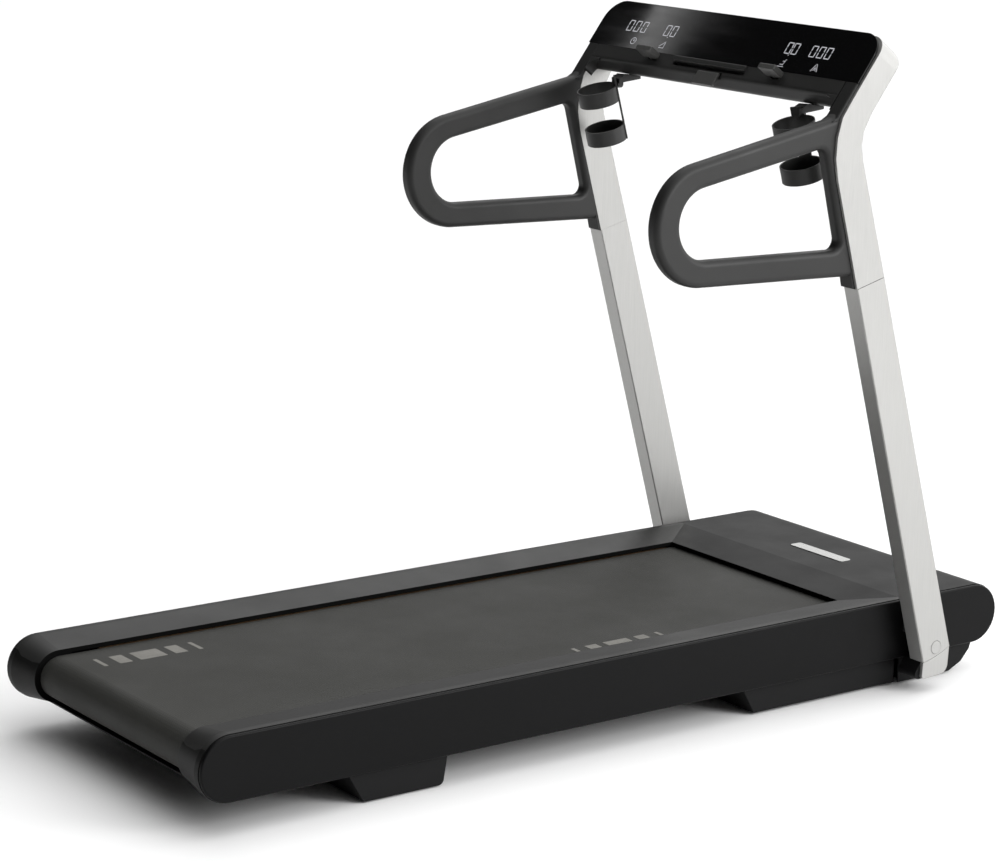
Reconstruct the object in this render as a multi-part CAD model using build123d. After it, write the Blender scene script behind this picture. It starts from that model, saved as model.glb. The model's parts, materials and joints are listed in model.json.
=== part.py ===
from build123d import *
import os
from math import cos, hypot, radians, sin, sqrt

# A home treadmill. +Y is the way the user faces, +X is the user's right, +Z is up.
# The origin is on the floor, at the middle of the whole machine. Millimetres.

# ---- deck ----
LENGTH = 1790.0
PANEL_HALF_W = 338.5          # outer face of the side panels
SIDE_T = 7.0                  # side panel thickness
COVER_HALF_W = 331.0          # footrests and hood end here, beside the panels
DECK_TOP = 175.0
DECK_BOTTOM = 58.0
END_R = (DECK_TOP - DECK_BOTTOM) / 2
AXIS_Z = (DECK_TOP + DECK_BOTTOM) / 2
REAR_Y = -LENGTH / 2 + END_R  # centre of the rounded rear end, and rear roller axis
FRONT_Y = LENGTH / 2 - END_R  # centre of the rounded front end
OPENING_HALF_W = 249.0        # inner edge of the footrests
OPENING_FRONT_Y = 559.0       # rear edge of the hood
DISH_DEPTH = 10.5             # the top surface dips to the opening's edge
DISH_SIDE = 70.0
DISH_FRONT = 89.0
HOOD_SEAM_Y = OPENING_FRONT_Y + DISH_FRONT
SHELL_T = 4.0
FOOT_TOP = (-600.0, -396.0)   # rear feet, along Y, at the deck and at the pads
FOOT_SOLE = (-567.0, -405.0)
PAD_T = 3.0

# ---- running gear ----
BELT_R = 38.0
BELT_T = 2.4
BELT_HALF_W = 246.5
ROLLER_R = BELT_R - BELT_T - 0.4
ROLLER_HALF_W = 247.0
FRONT_ROLLER_Y = 615.0
SHAFT_R = 10.0
RUNNING_FIT = 0.05
BOARD_TOP = AXIS_Z + BELT_R - BELT_T - 0.6
BOARD_T = 14.0
RAIL_X0, RAIL_X1 = 258.0, 298.0
RAIL_Z0, RAIL_Z1 = 90.0, 130.0
TENSION_BOLT_X = 278.0

# ---- drive ----
MOTOR_Y, MOTOR_Z = 800.0, 120.0
BIG_PULLEY_R = 36.0
SMALL_PULLEY_R = 12.0         # gives the motor three turns to one of the roller
PULLEY_X0, PULLEY_X1 = -274.0, -251.0
PLATE_X0, PLATE_X1 = 298.0, 304.0
TRAY_Y0, TRAY_Y1 = 730.0, 852.0
INLET_X0, INLET_X1 = -267.0, -233.0
SWITCH_X0, SWITCH_X1 = -222.0, -204.0
INLET_Z0, INLET_Z1 = 94.0, 118.0
SWITCH_Y, SWITCH_Z = 884.0, 106.0
PIN_R = 2.0                   # small pivots of the switch and the paddles

# ---- incline lift ----
PIVOT_Y, PIVOT_Z = 684.0, 88.0
LUG_H = 60.0                  # actuator pin above the pivot
ARM_X0, ARM_X1 = 283.0, 295.0
WHEEL_R = 28.0
WHEEL_Y, WHEEL_Z = 330.0, WHEEL_R
SKIRT_HALF_W = 323.0
ROD_X = 179.0
ROD_Z = PIVOT_Z + LUG_H - 1.0
LIFT_TOP, LIFT_BASE = 55.0, 5.0  # upper and lower edges of the moving skirt
LIFT_HALF_W = 317.0

# ---- uprights ----
UP_X0, UP_X1 = 355.7, 392.5
WALL = 3.0
SEAM_REAR, SEAM_FRONT = (437.0, 798.0), (501.4, 815.0)   # joint of the two lengths of upright
SOLE_REAR, SOLE_MID, SOLE_FRONT = (652.5, 62.5), (690.0, 72.5), (719.0, 86.0)
FOOT_TOE, FOOT_HEEL = (716, 34), (630, 27.5)
REAR_BEND = [(378.0, 1000.0), (371.0, 1038.0), (372.5, 1075.0), (382.0, 1110.0)]
MOUNT_Y0, MOUNT_Y1 = 648.0, 690.0
MOUNT_Z0, MOUNT_Z1 = 112.0, 150.0
BOLT_R = 7.0
CAP_R = 12.5

# ---- handles ----
HANDLE_X0, HANDLE_X1 = 356.0, 387.0
RIM_R = 11.0                     # rounding of the handles' edges

# ---- display head ----
HEAD_Y, HEAD_Z = 418.0, 1170.0   # lower edge of the display glass
HEAD_RISE = (0.6, 0.8)           # direction up along the glass, in Y and Z
HEAD_DEPTH = 59.0
GLASS_H = 102.0
GLASS_HALF_W = 388.0
GLASS_T = 4.0
SILVER_INSET = 6.0               # the uprights' heads stand this far behind the glass face
HEAD_END = 101.0
BACK_R = 22.0
CORNER_R = 36.0                  # rounding of the head's upper outer corners
GUSSET_R = 26.0
PADDLE_X = 178.0
PADDLE_PIVOT = (-10.0, 8.0)      # up along the glass and behind its face
LEDGE_X0, LEDGE_X1 = -114.0, 92.0
KEY_TOP = -25.0                  # upper edge of the safety key

# ---- bottle holders ----
HOLDER_X = 286.3
LEAN = 16.3                      # they lean back with the uprights, in degrees
RING_TOP = (361.0, 1092.0)       # centre of the upper ring's rim, in Y and Z
CUP_R = 39.0
CUP_WALL = 2.6
CUP_H = 30.0
CUP_GAP = 78.0
STRAP_UP = 16.0
STRAP_ANGLE = 125              # place of the strap round the cup, in degrees


# ---- helpers ----
def box(x0, x1, y0, y1, z0, z1):
    return Pos((x0 + x1) / 2, (y0 + y1) / 2, (z0 + z1) / 2) * Box(x1 - x0, y1 - y0, z1 - z0)


def slab(sketch, x0, x1):
    """A YZ sketch made solid between two X values."""
    return extrude(Plane.YZ.offset(x0) * sketch, x1 - x0)


def polygon(points):
    return make_face(Polyline(*points, close=True))


def disc(r, y, z):
    return Pos(y, z) * Circle(r)


def rod_x(r, x0, x1, y, z):
    return slab(disc(r, y, z), x0, x1)


def rod_y(r, y0, y1, x, z):
    return extrude(Plane.XZ.offset(-y1) * Pos(x, z) * Circle(r), y1 - y0)


def stadium(y0, y1, r):
    """Side view of the deck: two half rounds joined by straight runs."""
    return Pos((y0 + y1) / 2, AXIS_Z) * SlotCenterToCenter(y1 - y0, 2 * r)


def wrap(c1, r1, c2, r2):
    """Outline of a belt pulled round two discs."""
    dy, dz = c2[0] - c1[0], c2[1] - c1[1]
    d = hypot(dy, dz)
    along = (r1 - r2) / d
    across = sqrt(1 - along * along)
    u, v = (dy / d, dz / d), (-dz / d, dy / d)
    corners = []
    for centre, r, side in ((c1, r1, 1), (c2, r2, 1), (c2, r2, -1), (c1, r1, -1)):
        corners.append((centre[0] + r * (along * u[0] + side * across * v[0]),
                        centre[1] + r * (along * u[1] + side * across * v[1])))
    return polygon(corners) + disc(r1, *c1) + disc(r2, *c2)


def head(t, s):
    """A point of the display head: t up along the glass, s behind its face."""
    return (HEAD_Y + t * HEAD_RISE[0] + s * HEAD_RISE[1], HEAD_Z + t * HEAD_RISE[1] - s * HEAD_RISE[0])


def head_block(x0, x1, t0, t1, s0, s1):
    return slab(polygon([head(t0, s0), head(t1, s0), head(t1, s1), head(t0, s1)]), x0, x1)


def left_of(part):
    return mirror(part, about=Plane.YZ)


def round_x_edges(part, spots, radius):
    """Round the edges along X that pass through the given Y, Z spots."""
    edges = []
    for y, z in spots:
        edges.append(min(part.edges().filter_by(Axis.X),
                         key=lambda e: hypot(e.center().Y - y, e.center().Z - z)))
    return fillet(edges, radius)


# ---- deck covers ----
def side_panel():
    panel = slab(stadium(REAR_Y, FRONT_Y, END_R - 1.2), PANEL_HALF_W - SIDE_T, PANEL_HALF_W)
    panel = fillet(panel.faces().sort_by(Axis.X)[-1].edges(), 3.2)
    window = box(300, 400, MOUNT_Y0 - 0.5, MOUNT_Y1 + 0.5, MOUNT_Z0 - 0.5, MOUNT_Z1 + 0.5)
    return panel - window - rod_x(BOLT_R + 0.1, 300, 400, PIVOT_Y, PIVOT_Z)


def dish():
    """The shallow dip around the belt opening, as the solid to cut away."""
    back = -2 * LENGTH
    reach = OPENING_FRONT_Y - back
    spread = 2 * (OPENING_HALF_W + 2 * DISH_SIDE)
    low = Pos(0, back + reach / 2) * Rectangle(2 * OPENING_HALF_W, reach)
    high = Pos(0, back + reach / 2 + DISH_FRONT) * Rectangle(spread, reach + 2 * DISH_FRONT)
    low = Plane.XY.offset(DECK_TOP - DISH_DEPTH) * low
    high = Plane.XY.offset(DECK_TOP + DISH_DEPTH) * high
    return loft([low, high])


def hood_plan():
    """Plan outline of the hood: it meets the footrests along two mitres."""
    right = [(OPENING_HALF_W, OPENING_FRONT_Y), (OPENING_HALF_W + DISH_SIDE, HOOD_SEAM_Y),
             (COVER_HALF_W, HOOD_SEAM_Y), (COVER_HALF_W, LENGTH)]
    left = [(-x, y) for x, y in reversed(right)]
    return polygon(right + left)


def motor_hood():
    outer = slab(stadium(REAR_Y, FRONT_Y, END_R), -COVER_HALF_W, COVER_HALF_W)
    outer = outer & extrude(hood_plan(), 300)
    cavity = slab(stadium(REAR_Y, FRONT_Y, END_R - SHELL_T), -400, 400)
    cavity = cavity & box(-400, 400, HOOD_SEAM_Y + 6, 900, 0, 300)
    under_ramp = box(-400, 400, 400, HOOD_SEAM_Y + 6, 0, DECK_TOP - DISH_DEPTH - SHELL_T)
    under = box(-400, 400, 400, FRONT_Y, 0, DECK_BOTTOM + 20)
    hood = outer - cavity - under_ramp - under - dish()
    inlet_hole = box(INLET_X0 - 0.4, INLET_X1 + 0.4, 870, 900, INLET_Z0 - 0.4, INLET_Z1 + 0.4)
    switch_hole = box(SWITCH_X0 - 0.8, SWITCH_X1 + 0.8, 870, 900, INLET_Z0 - 1.0, INLET_Z1 + 1.0)
    return hood - inlet_hole - switch_hole


def footrest():
    """Right footrest: one shell that dips to the belt and wraps round the rear end."""
    low_r = END_R - DISH_DEPTH
    flat_x = OPENING_HALF_W + DISH_SIDE
    section = [(OPENING_HALF_W, low_r), (flat_x, END_R), (COVER_HALF_W, END_R),
               (COVER_HALF_W, END_R - SHELL_T), (flat_x + 0.6, END_R - SHELL_T),
               (OPENING_HALF_W + 3.5, low_r - SHELL_T + 0.5), (OPENING_HALF_W + 3.5, low_r - 8),
               (OPENING_HALF_W, low_r - 8)]
    face = Plane.XZ.offset(-REAR_Y) * Pos(0, AXIS_Z) * polygon(section)
    top = extrude(face, -(HOOD_SEAM_Y - REAR_Y))
    mitre = [(200, OPENING_FRONT_Y - 49 * DISH_FRONT / DISH_SIDE), (200, LENGTH),
             (COVER_HALF_W + 1, LENGTH), (COVER_HALF_W + 1, HOOD_SEAM_Y), (flat_x, HOOD_SEAM_Y)]
    top = top - extrude(polygon(mitre), 300)
    end = revolve(face, axis=Axis((0, REAR_Y, AXIS_Z), (1, 0, 0)), revolution_arc=180)
    wall = rod_x(low_r - 0.5, OPENING_HALF_W, OPENING_HALF_W + 3.5, REAR_Y, AXIS_Z)
    wall = wall & box(0, 400, -LENGTH, REAR_Y + 40, 0, 300)
    wall = wall - rod_x(SHAFT_R + 0.5, 200, 300, REAR_Y, AXIS_Z)
    return top + end + wall


def belly_pan():
    pan = box(-COVER_HALF_W, COVER_HALF_W, REAR_Y + 1, 555, DECK_BOTTOM, DECK_BOTTOM + 3)
    ribs = box(-COVER_HALF_W + 1, COVER_HALF_W - 1, 549, 552, DECK_BOTTOM + 3, DECK_BOTTOM + 9)
    return pan + ribs


def rear_foot():
    sole = [(y, PAD_T) for y in reversed(FOOT_SOLE)]
    block = slab(polygon([(y, DECK_BOTTOM) for y in FOOT_TOP] + sole), 200, 322)
    return round_x_edges(block, sole, 10)


def rubber_feet():
    """Two pads under the rear feet and two under the front skirt."""
    rear_pad = box(213, 309, FOOT_SOLE[0] + 16, FOOT_SOLE[1] - 16, 0, PAD_T)
    front_pad = box(234, 306, 700, 768, 0, 5)
    return Compound(children=[rear_pad, left_of(rear_pad), front_pad, left_of(front_pad)])


def front_skirt():
    """Fixed skirt under the front of the deck, open to the rear and on top."""
    outer = [(656, DECK_BOTTOM), (848, DECK_BOTTOM), (842, 42), (822, 20), (790, 5), (656, 5)]
    inner = [(600, DECK_BOTTOM + 1), (844.6, DECK_BOTTOM + 1), (839, 43.5), (820, 23), (789, 8),
             (600, 8)]
    shell = slab(polygon(outer), -SKIRT_HALF_W, SKIRT_HALF_W)
    shell = shell - slab(polygon(inner), -SKIRT_HALF_W + 3, SKIRT_HALF_W - 3)
    return shell - box(-SKIRT_HALF_W + 3, SKIRT_HALF_W - 3, 650, 676, 0, 12)   # the lift swings here


def badge_plate():
    return fillet(box(-76, 76, 724, 752, DECK_TOP, DECK_TOP + 1.2).edges().filter_by(Axis.Z), 5)


# ---- frame ----
def frame_rail():
    tube = box(RAIL_X0, RAIL_X1, -862, 574, RAIL_Z0, RAIL_Z1)
    hollow = box(RAIL_X0 + 2.5, RAIL_X1 - 2.5, -863, 575, RAIL_Z0 + 2.5, RAIL_Z1 - 2.5)
    return tube - hollow - rod_x(SHAFT_R + 0.05, 200, 290, REAR_Y, AXIS_Z)


def crossmember(y):
    tube = box(-RAIL_X0, RAIL_X0, y - 20, y + 20, 97, 127)
    return tube - box(-RAIL_X0 - 1, RAIL_X0 + 1, y - 17.5, y + 17.5, 99.5, 124.5)


def front_subframe():
    side = [(470, 94), (556, 94), (585, 66), (850, 66), (866, 84), (866, 150), (560, 150),
            (540, 130), (470, 130)]
    plate = slab(polygon(side), PLATE_X0, PLATE_X1)
    plate = plate - rod_x(20, 200, 400, FRONT_ROLLER_Y, AXIS_Z)
    plate = plate - rod_x(11 + RUNNING_FIT, 200, 400, PIVOT_Y, PIVOT_Z)
    tray = box(-PLATE_X0, PLATE_X0, TRAY_Y0, TRAY_Y1 - 2, 66, 70)
    beam = box(-PLATE_X0, PLATE_X0, TRAY_Y1, 866, 84, 110)
    lip = box(-PLATE_X0, PLATE_X0, TRAY_Y1 - 5, TRAY_Y1, 70, 90)
    saddle = box(-205, -95, 772, 828, 70, 96) - rod_x(42, -300, 0, MOTOR_Y, MOTOR_Z)
    return plate + left_of(plate) + tray + beam + lip + saddle


def outrigger_brackets():
    """Angles that carry the footrests and side panels off the rails."""
    brackets = []
    for side in (-1, 1):
        for step in range(5):
            y = -700 + 280 * step
            profile = [(RAIL_X1, 96), (COVER_HALF_W, 130), (COVER_HALF_W, 170.5), (322, 170.5),
                       (RAIL_X1, 128)]
            web = extrude(Plane.XZ.offset(-y) * polygon([(side * x, z) for x, z in profile]), 5)
            brackets.append(web)
    return Compound(children=brackets)


def upright_mount():
    return box(PLATE_X1, UP_X0, MOUNT_Y0, MOUNT_Y1, MOUNT_Z0, MOUNT_Z1)


def running_deck():
    board = box(-290, 290, REAR_Y + 84, 566, BOARD_TOP - BOARD_T, BOARD_TOP)
    return fillet(board.edges().filter_by(Axis.X).group_by(Axis.Z)[-1], 5)


def deck_cushions():
    pads = []
    for side in (-1, 1):
        for step in range(4):
            spot = Pos(side * 278, -640 + 370 * step, RAIL_Z1)
            pads.append(spot * extrude(Circle(14), BOARD_TOP - BOARD_T - RAIL_Z1))
    return Compound(children=pads)


# ---- belt and rollers ----
def running_belt():
    outer = stadium(REAR_Y, FRONT_ROLLER_Y, BELT_R)
    inner = stadium(REAR_Y, FRONT_ROLLER_Y, BELT_R - BELT_T)
    return slab(outer - inner, -BELT_HALF_W, BELT_HALF_W)


def rear_roller():
    drum = rod_x(ROLLER_R, -ROLLER_HALF_W, ROLLER_HALF_W, REAR_Y, AXIS_Z)
    drum = drum - rod_x(30, -235, 235, REAR_Y, AXIS_Z)
    return drum - rod_x(17 + RUNNING_FIT, -300, 300, REAR_Y, AXIS_Z)


def rear_roller_shaft():
    return rod_x(SHAFT_R, -288, 288, REAR_Y, AXIS_Z)


def roller_bearings():
    """Bearings between the rear drum and its fixed shaft, and of the front roller in its plates."""
    rear = rod_x(17, 235, 247, REAR_Y, AXIS_Z) - rod_x(SHAFT_R, 230, 250, REAR_Y, AXIS_Z)
    front = rod_x(20, PLATE_X0, PLATE_X1, FRONT_ROLLER_Y, AXIS_Z)
    front = front - rod_x(SHAFT_R + RUNNING_FIT, 290, 310, FRONT_ROLLER_Y, AXIS_Z)
    return Compound(children=[rear, left_of(rear), front, left_of(front)])


def belt_tension_bolts():
    bolts = []
    for side in (-1, 1):
        shank = rod_y(4, REAR_Y - 38, REAR_Y - SHAFT_R + 1, side * TENSION_BOLT_X, AXIS_Z)
        spot = Pos(side * TENSION_BOLT_X, AXIS_Z)
        hexagon = Plane.XZ.offset(-(REAR_Y - 38)) * spot * RegularPolygon(5.0, 6)
        bolts.append(shank + extrude(hexagon, 5) - rod_x(SHAFT_R, -300, 300, REAR_Y, AXIS_Z))
    return Compound(children=bolts)


def front_roller():
    drum = rod_x(ROLLER_R, -ROLLER_HALF_W, ROLLER_HALF_W, FRONT_ROLLER_Y, AXIS_Z)
    drum = drum - rod_x(30, -235, 235, FRONT_ROLLER_Y, AXIS_Z)
    return drum + rod_x(SHAFT_R, -308, 308, FRONT_ROLLER_Y, AXIS_Z)


def front_roller_pulley():
    rim = rod_x(BIG_PULLEY_R, PULLEY_X0, PULLEY_X1, FRONT_ROLLER_Y, AXIS_Z)
    return rim - rod_x(SHAFT_R, -300, -200, FRONT_ROLLER_Y, AXIS_Z)


# ---- motor bay ----
def drive_motor():
    can = rod_x(42, -232, -66, MOTOR_Y, MOTOR_Z)
    for x0 in (-238, -66):
        can = can + rod_x(34, x0, x0 + 6, MOTOR_Y, MOTOR_Z)
    return can - rod_x(8.4, -300, 0, MOTOR_Y, MOTOR_Z)


def motor_shaft():
    return rod_x(8, -276, -38, MOTOR_Y, MOTOR_Z)


def motor_pulley():
    rim = rod_x(SMALL_PULLEY_R, PULLEY_X0, PULLEY_X1, MOTOR_Y, MOTOR_Z)
    return rim - rod_x(8, -300, 0, MOTOR_Y, MOTOR_Z)


def motor_flywheel():
    wheel = rod_x(38, -56, -42, MOTOR_Y, MOTOR_Z) - rod_x(8, -300, 0, MOTOR_Y, MOTOR_Z)
    for step in range(6):
        angle = radians(60 * step)
        wheel = wheel - rod_x(6, -60, -40, MOTOR_Y + 23 * cos(angle), MOTOR_Z + 23 * sin(angle))
    return wheel


def drive_belt():
    c1, c2 = (FRONT_ROLLER_Y, AXIS_Z), (MOTOR_Y, MOTOR_Z)
    gap, thickness = 0.35, 2.6
    outer = wrap(c1, BIG_PULLEY_R + gap + thickness, c2, SMALL_PULLEY_R + gap + thickness)
    inner = wrap(c1, BIG_PULLEY_R + gap, c2, SMALL_PULLEY_R + gap)
    return slab(outer - inner, PULLEY_X0 + 3, PULLEY_X1 - 3)


def motor_controller():
    case = box(-22, 140, 746, 846, 70, 96)
    for step in range(8):
        x = -14 + 20 * step
        case = case + box(x, x + 3, 752, 840, 96, 116)
    return case


def mains_inlet():
    block = box(INLET_X0, INLET_X1, 866, 892.5, INLET_Z0, INLET_Z1)
    block = block - box(INLET_X0 + 5, INLET_X1 - 5, 876, 900, INLET_Z0 + 5, INLET_Z1 - 5)
    for x, z in ((-250, 109), (-257, 103), (-243, 103)):
        block = block + box(x - 1, x + 1, 875, 884, z - 2, z + 2)
    seat = box(SWITCH_X0 - 5, SWITCH_X1 + 5, 866, 876, INLET_Z0 - 4, INLET_Z1 + 4)
    bridge = box(INLET_X1 - 1, SWITCH_X0, 866, 872, INLET_Z0, INLET_Z1)
    ears = box(SWITCH_X0 - 3.5, SWITCH_X0 - 0.5, 875, 889, 100, 112)
    ears = ears + box(SWITCH_X1 + 0.5, SWITCH_X1 + 3.5, 875, 889, 100, 112)
    bore = rod_x(PIN_R + RUNNING_FIT, SWITCH_X0 - 5, SWITCH_X1 + 5, SWITCH_Y, SWITCH_Z)
    return block + seat + bridge + (ears - bore)


def power_switch():
    rocker = box(SWITCH_X0, SWITCH_X1, 879, 893, INLET_Z0 + 1, INLET_Z1 - 1)
    dip = rod_x(60, -300, -100, 893 + 58.2, SWITCH_Z)
    return rocker - dip + rod_x(PIN_R, SWITCH_X0 - 3, SWITCH_X1 + 3, SWITCH_Y, SWITCH_Z)


# ---- incline lift ----
def lift_frame():
    blade = [(690, 70), (620, 32), (322, 18), (318, 40), (600, 52), (668, 100)]
    arm = slab(polygon(blade), ARM_X0, ARM_X1)
    arm = arm + rod_x(20, ARM_X0, ARM_X1, PIVOT_Y, PIVOT_Z)
    arm = arm + rod_x(11, ARM_X0 - 2, PLATE_X1 + 2, PIVOT_Y, PIVOT_Z)
    arm = arm + rod_x(6, ARM_X0 - 31, ARM_X0, WHEEL_Y, WHEEL_Z)
    rear_tube = rod_x(12, -ARM_X0, ARM_X0, 376, 34)
    front_tube = rod_x(14, -ARM_X0, ARM_X0, 610, 43)
    lever = [(598, 40), (640, 34), (698, 44), (702, 60), (696, PIVOT_Z + LUG_H),
             (690, PIVOT_Z + LUG_H + 10), (678, PIVOT_Z + LUG_H + 10), (672, PIVOT_Z + LUG_H),
             (677, 74), (640, 56), (598, 56)]
    frame = arm + left_of(arm) + rear_tube + front_tube
    frame = frame + slab(polygon(lever), ROD_X + 7, ROD_X + 15)
    return frame + rod_x(5, ROD_X - 7, ROD_X + 8, PIVOT_Y, PIVOT_Z + LUG_H)


def lift_cover():
    """Moving skirt over the lift frame, open on top and to the front."""
    outer = [(300, LIFT_BASE), (270, LIFT_TOP), (650, LIFT_TOP), (650, LIFT_BASE)]
    inner = [(302, LIFT_BASE + 3), (271, LIFT_TOP + 3), (700, LIFT_TOP + 3), (700, LIFT_BASE + 3)]
    shell = slab(polygon(outer), -LIFT_HALF_W, LIFT_HALF_W)
    shell = shell - slab(polygon(inner), -LIFT_HALF_W + 3, LIFT_HALF_W - 3)
    shell = shell - box(-LIFT_HALF_W + 3, LIFT_HALF_W - 3, 622, 700, 0, LIFT_TOP + 1)
    for side in (-1, 1):
        shell = shell - box(side * 267 - 18, side * 267 + 18, 303, 366, 0, 20)
    post = box(ARM_X1, LIFT_HALF_W - 3, 440, 470, 30, 44)
    return shell + post + left_of(post)


def lift_wheel():
    tread = rod_x(WHEEL_R, ARM_X0 - 28, ARM_X0 - 4, WHEEL_Y, WHEEL_Z)
    tread = fillet(tread.edges().filter_by(GeomType.CIRCLE), 3)
    for x0 in (ARM_X0 - 29, ARM_X0 - 7):
        ring = rod_x(21, x0, x0 + 4, WHEEL_Y, WHEEL_Z) - rod_x(11, x0, x0 + 4, WHEEL_Y, WHEEL_Z)
        tread = tread - ring
    return tread - rod_x(6 + RUNNING_FIT, 200, 300, WHEEL_Y, WHEEL_Z)


def lift_actuator():
    tube = rod_y(13, 745, 830, ROD_X, ROD_Z)
    gearbox = box(ROD_X - 18, ROD_X + 18, 818, TRAY_Y1, 92, 160)
    can = rod_y(16, 752, 818, ROD_X, 110)
    return tube + gearbox + can - rod_y(5 + RUNNING_FIT, 700, 812, ROD_X, ROD_Z)


def lift_rod():
    rod = rod_y(5, PIVOT_Y + 10, 800, ROD_X, ROD_Z)
    eye = rod_x(13, ROD_X - 5, ROD_X + 5, PIVOT_Y, ROD_Z)
    return rod + eye - rod_x(7.2, ROD_X - 6, ROD_X + 6, PIVOT_Y, ROD_Z)


# ---- uprights ----
def lower_upright():
    sole = ThreePointArc(SOLE_FRONT, SOLE_MID, SOLE_REAR)
    bar = slab(make_face(Polyline(SOLE_REAR, SEAM_REAR, SEAM_FRONT, SOLE_FRONT) + sole), UP_X0, UP_X1)
    groove = polygon([(SOLE_REAR[0] - 2, SOLE_REAR[1]), (SEAM_REAR[0] - 2, SEAM_REAR[1]),
                      (SEAM_REAR[0] + 1.3, SEAM_REAR[1]), (SOLE_REAR[0] + 1.3, SOLE_REAR[1])])
    bar = bar - slab(groove, UP_X0 - 1, UP_X0 + 1.3) - slab(groove, UP_X1 - 1.3, UP_X1 + 1)
    core = polygon([(SOLE_REAR[0] + 9, 40), (SEAM_REAR[0] - 1.5, SEAM_REAR[1] + 20),
                    (SEAM_FRONT[0] - 7.5, SEAM_FRONT[1] + 16), (SOLE_FRONT[0] + 8.5, 45)])
    bar = bar - slab(core, UP_X0 + WALL, UP_X1 - WALL)
    bar = bar - rod_x(BOLT_R + 0.1, UP_X0 - 1, UP_X0 + 10, PIVOT_Y, PIVOT_Z)
    return bar - rod_x(CAP_R + 0.5, UP_X1 - 10, UP_X1 + 1, PIVOT_Y, PIVOT_Z)


def foot_outline(heel=FOOT_HEEL):
    """Side view of the foot below the upright, down to its toe and its heel."""
    gap = 0.8
    top = ThreePointArc((SOLE_REAR[0], SOLE_REAR[1] - gap), (SOLE_MID[0] + 0.2, SOLE_MID[1] - gap),
                        (SOLE_FRONT[0] - 0.5, SOLE_FRONT[1] - gap))
    base = Polyline((SOLE_FRONT[0] - 0.5, SOLE_FRONT[1] - gap), FOOT_TOE, heel,
                    (SOLE_REAR[0], SOLE_REAR[1] - gap))
    return make_face(top + base)


def upright_foot():
    heel = (651, 29.5)
    plate = slab(foot_outline(heel), UP_X1 - 7, UP_X1)
    plate = round_x_edges(plate, [FOOT_TOE], 18)
    return round_x_edges(plate, [heel], 7)


def foot_block():
    block = slab(foot_outline(), PANEL_HALF_W + 1, UP_X1 - 7)
    block = round_x_edges(block, [FOOT_TOE], 18)
    return round_x_edges(block, [FOOT_HEEL], 10)


def foot_fixings():
    """Bolts that pin the uprights' lower ends to the side panels, with their spacers."""
    bolt = rod_x(BOLT_R, 334, 380, PIVOT_Y, PIVOT_Z) + rod_x(10.5, 380, 386, PIVOT_Y, PIVOT_Z)
    spacer = rod_x(14, PANEL_HALF_W, UP_X0, PIVOT_Y, PIVOT_Z + 3)
    spacer = spacer - rod_x(BOLT_R, 300, 400, PIVOT_Y, PIVOT_Z) - slab(foot_outline(), 300, 400)
    return Compound(children=[bolt, left_of(bolt), spacer, left_of(spacer)])


def foot_cap():
    return rod_x(CAP_R, UP_X1 - 4, UP_X1 + 0.4, PIVOT_Y, PIVOT_Z)


def upper_upright():
    nose = head(HEAD_END, HEAD_DEPTH)
    outline = [SEAM_REAR, *REAR_BEND, head(-33, SILVER_INSET), head(HEAD_END, SILVER_INSET), nose,
               head(0, HEAD_DEPTH), (452, 1117), (434, 1084), (430.5, 1060), (435, 1032), SEAM_FRONT]
    bar = slab(polygon(outline), UP_X0, UP_X1)
    bar = round_x_edges(bar, [nose], BACK_R)
    x, t = UP_X1 - CORNER_R, HEAD_END - CORNER_R
    corner = head_block(x, UP_X1 + 1, t, HEAD_END + 1, 0, HEAD_DEPTH + 10)
    bar = bar - (corner - on_glass(Pos(x, t) * Circle(CORNER_R), -1, HEAD_DEPTH + 11))
    core = polygon([(SEAM_REAR[0] + 9, SEAM_REAR[1] - 20), (383.5, 1003), (376.5, 1038), (377.5, 1072),
                    (426, 1066), (430, 1032), (504, 790)])
    return bar - slab(core, UP_X0 + WALL, UP_X1 - WALL)


# ---- handles ----
def meeting(p, slope_p, q, slope_q):
    """Where two lines in the YZ view meet, each given by a point and a slope."""
    y = (q[1] - p[1] + slope_p * p[0] - slope_q * q[0]) / (slope_p - slope_q)
    return (y, p[1] + slope_p * (y - p[0]))


def handle():
    """A closed D of soft-touch plastic behind each upright."""
    top_end, low_end = (366, 1107.5), (425, 821.7)
    tip = meeting(top_end, 0.198, low_end, -0.027)
    peak = (393, 1125.8)
    bar_side = [REAR_BEND[3], REAR_BEND[2], REAR_BEND[1], REAR_BEND[0], SEAM_REAR]
    outer = polygon([tip, top_end, peak, *bar_side, (430, 800), low_end])
    outer = fillet(nearest_corner(outer, top_end), 22)
    outer = fillet(nearest_corner(outer, tip), 109.1)
    inner_top, inner_low = (352, 1057), (401, 871.8)
    inner_tip = meeting(inner_top, 0.19, inner_low, -0.02)
    inner = polygon([inner_tip, inner_top, inner_low])
    inner = fillet(nearest_corner(inner, inner_top), 17)
    inner = fillet(nearest_corner(inner, inner_low), 17)
    inner = fillet(nearest_corner(inner, inner_tip), 64.2)
    loop = slab(outer - inner, HANDLE_X0, HANDLE_X1)
    seat = Polyline(peak, *bar_side, (430, 800), low_end)
    rims = []
    for edge in loop.faces().filter_by(Axis.X).edges():
        middle = edge.center()
        if seat.distance_to(Vector(middle.Y, middle.Z, 0)) > 1:
            rims.append(edge)
    return fillet(rims, RIM_R) + shoulder()


def shoulder():
    """The handle's tongue, which runs up the back of the upright to the glass."""
    outline = [(364, 1104), head(-76, 0.4), head(-0.2, 0.4), head(-0.2, SILVER_INSET),
               head(-33, SILVER_INSET), REAR_BEND[3], (378, 1104)]
    tongue = slab(polygon(outline), HANDLE_X0, HANDLE_X1)
    rims = [e for e in tongue.faces().filter_by(Axis.X).edges() if e.length > 60]
    return fillet(rims, 4) if rims else tongue


def nearest_corner(sketch, spot):
    return min(sketch.vertices(), key=lambda v: hypot(v.X - spot[0], v.Y - spot[1]))


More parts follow.
